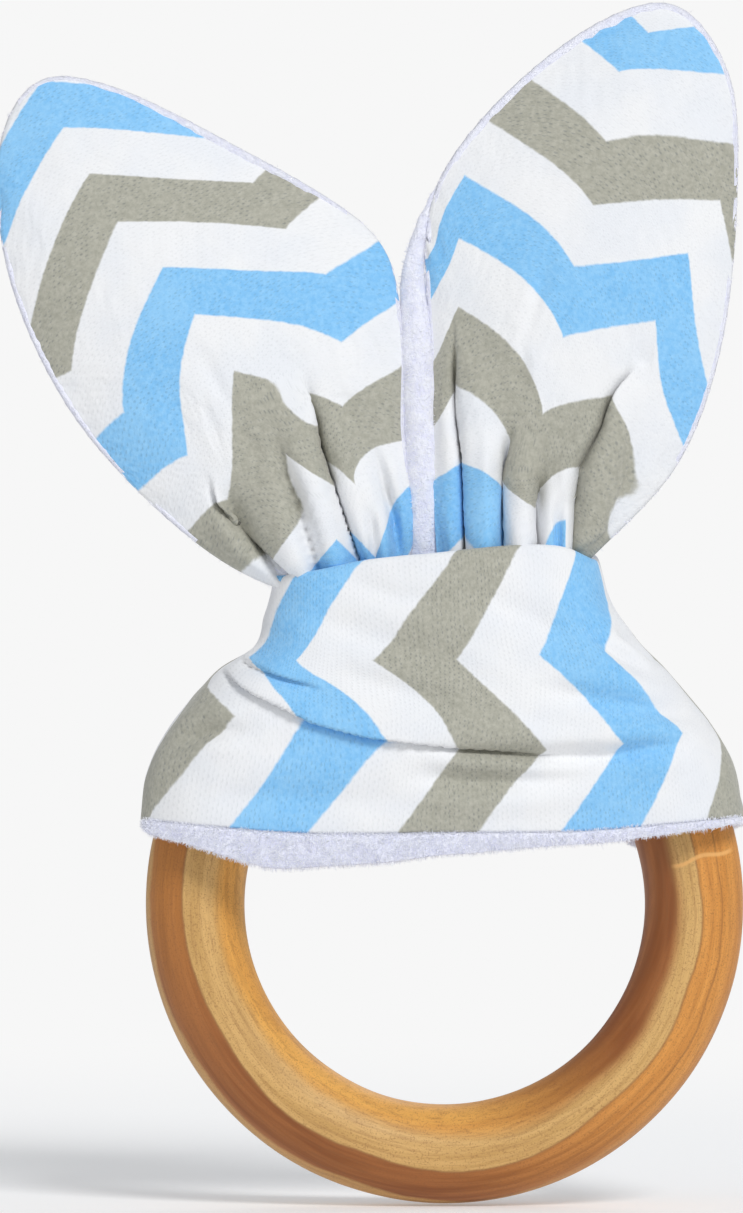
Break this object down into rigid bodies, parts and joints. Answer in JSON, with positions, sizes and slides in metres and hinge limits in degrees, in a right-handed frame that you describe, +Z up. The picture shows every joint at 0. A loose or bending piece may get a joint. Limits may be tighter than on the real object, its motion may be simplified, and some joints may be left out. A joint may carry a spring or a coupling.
{
  "type": "teething ring",
  "caption": "Round wooden teething ring with a cloth scarf tied on in a cow hitch, its two ends forming upright bunny ears.",
  "frame": {"origin": "under the middle of the toy's box as it stands with its ears up, at the height of the ring's lowest point; the ring's centre is at (8.5, 3.3, 38.1) mm", "axes": "+Z up from the ring to the ears, +Y to the back (the ring's axis), -Y to the front with the band, +X to the right seen from the front"},
  "size_m": [0.0957, 0.023, 0.1521],
  "materials": {
    "wood": "oiled and sanded",
    "print": "knit cotton with a zigzag print in blue and warm gray on white",
    "fleece": "short-pile fleece",
    "thread": "polyester sewing thread"
  },
  "bodies": {
    "scarf": {"band_print": "print", "band_lining": "fleece", "left_wrap_print": "print", "left_wrap_lining": "fleece", "right_wrap_print": "print", "right_wrap_lining": "fleece", "left_leg_print": "print", "left_leg_lining": "fleece", "right_leg_print": "print", "right_leg_lining": "fleece"},
    "ring": {"wood_ring": "wood"},
    "left_neck": {"left_neck_print": "print", "left_neck_lining": "fleece"},
    "left_ear": {"left_ear_print": "print", "left_ear_lining": "fleece", "left_ear_seam_thread": "thread"},
    "right_neck": {"right_neck_print": "print", "right_neck_lining": "fleece"},
    "right_ear": {"right_ear_print": "print", "right_ear_lining": "fleece", "right_ear_seam_thread": "thread"}
  },
  "joints": [
    {"name": "ring_turn", "type": "hinge", "parent": "scarf", "child": "ring", "pos_m": [0.0085, 0.0033, 0.0381], "axis": [0, 1, 0], "continuous": true},
    {"name": "left_ear_sway", "type": "hinge", "parent": "scarf", "child": "left_neck", "pos_m": [-0.0044, -0.0033, 0.0791], "axis": [0, 1, 0], "range_deg": [-12, 0], "stiffness_Nm_per_rad": 0.004},
    {"name": "left_ear_flop", "type": "hinge", "parent": "left_neck", "child": "left_ear", "pos_m": [-0.0044, -0.0033, 0.0881], "axis": [1, 0, 0], "range_deg": [-70, 70], "stiffness_Nm_per_rad": 0.002},
    {"name": "right_ear_sway", "type": "hinge", "parent": "scarf", "child": "right_neck", "pos_m": [0.0152, -0.0033, 0.0791], "axis": [0, 1, 0], "range_deg": [0, 12], "stiffness_Nm_per_rad": 0.004},
    {"name": "right_ear_flop", "type": "hinge", "parent": "right_neck", "child": "right_ear", "pos_m": [0.0152, -0.0033, 0.0881], "axis": [1, 0, 0], "range_deg": [-70, 70], "stiffness_Nm_per_rad": 0.002}
  ]
}
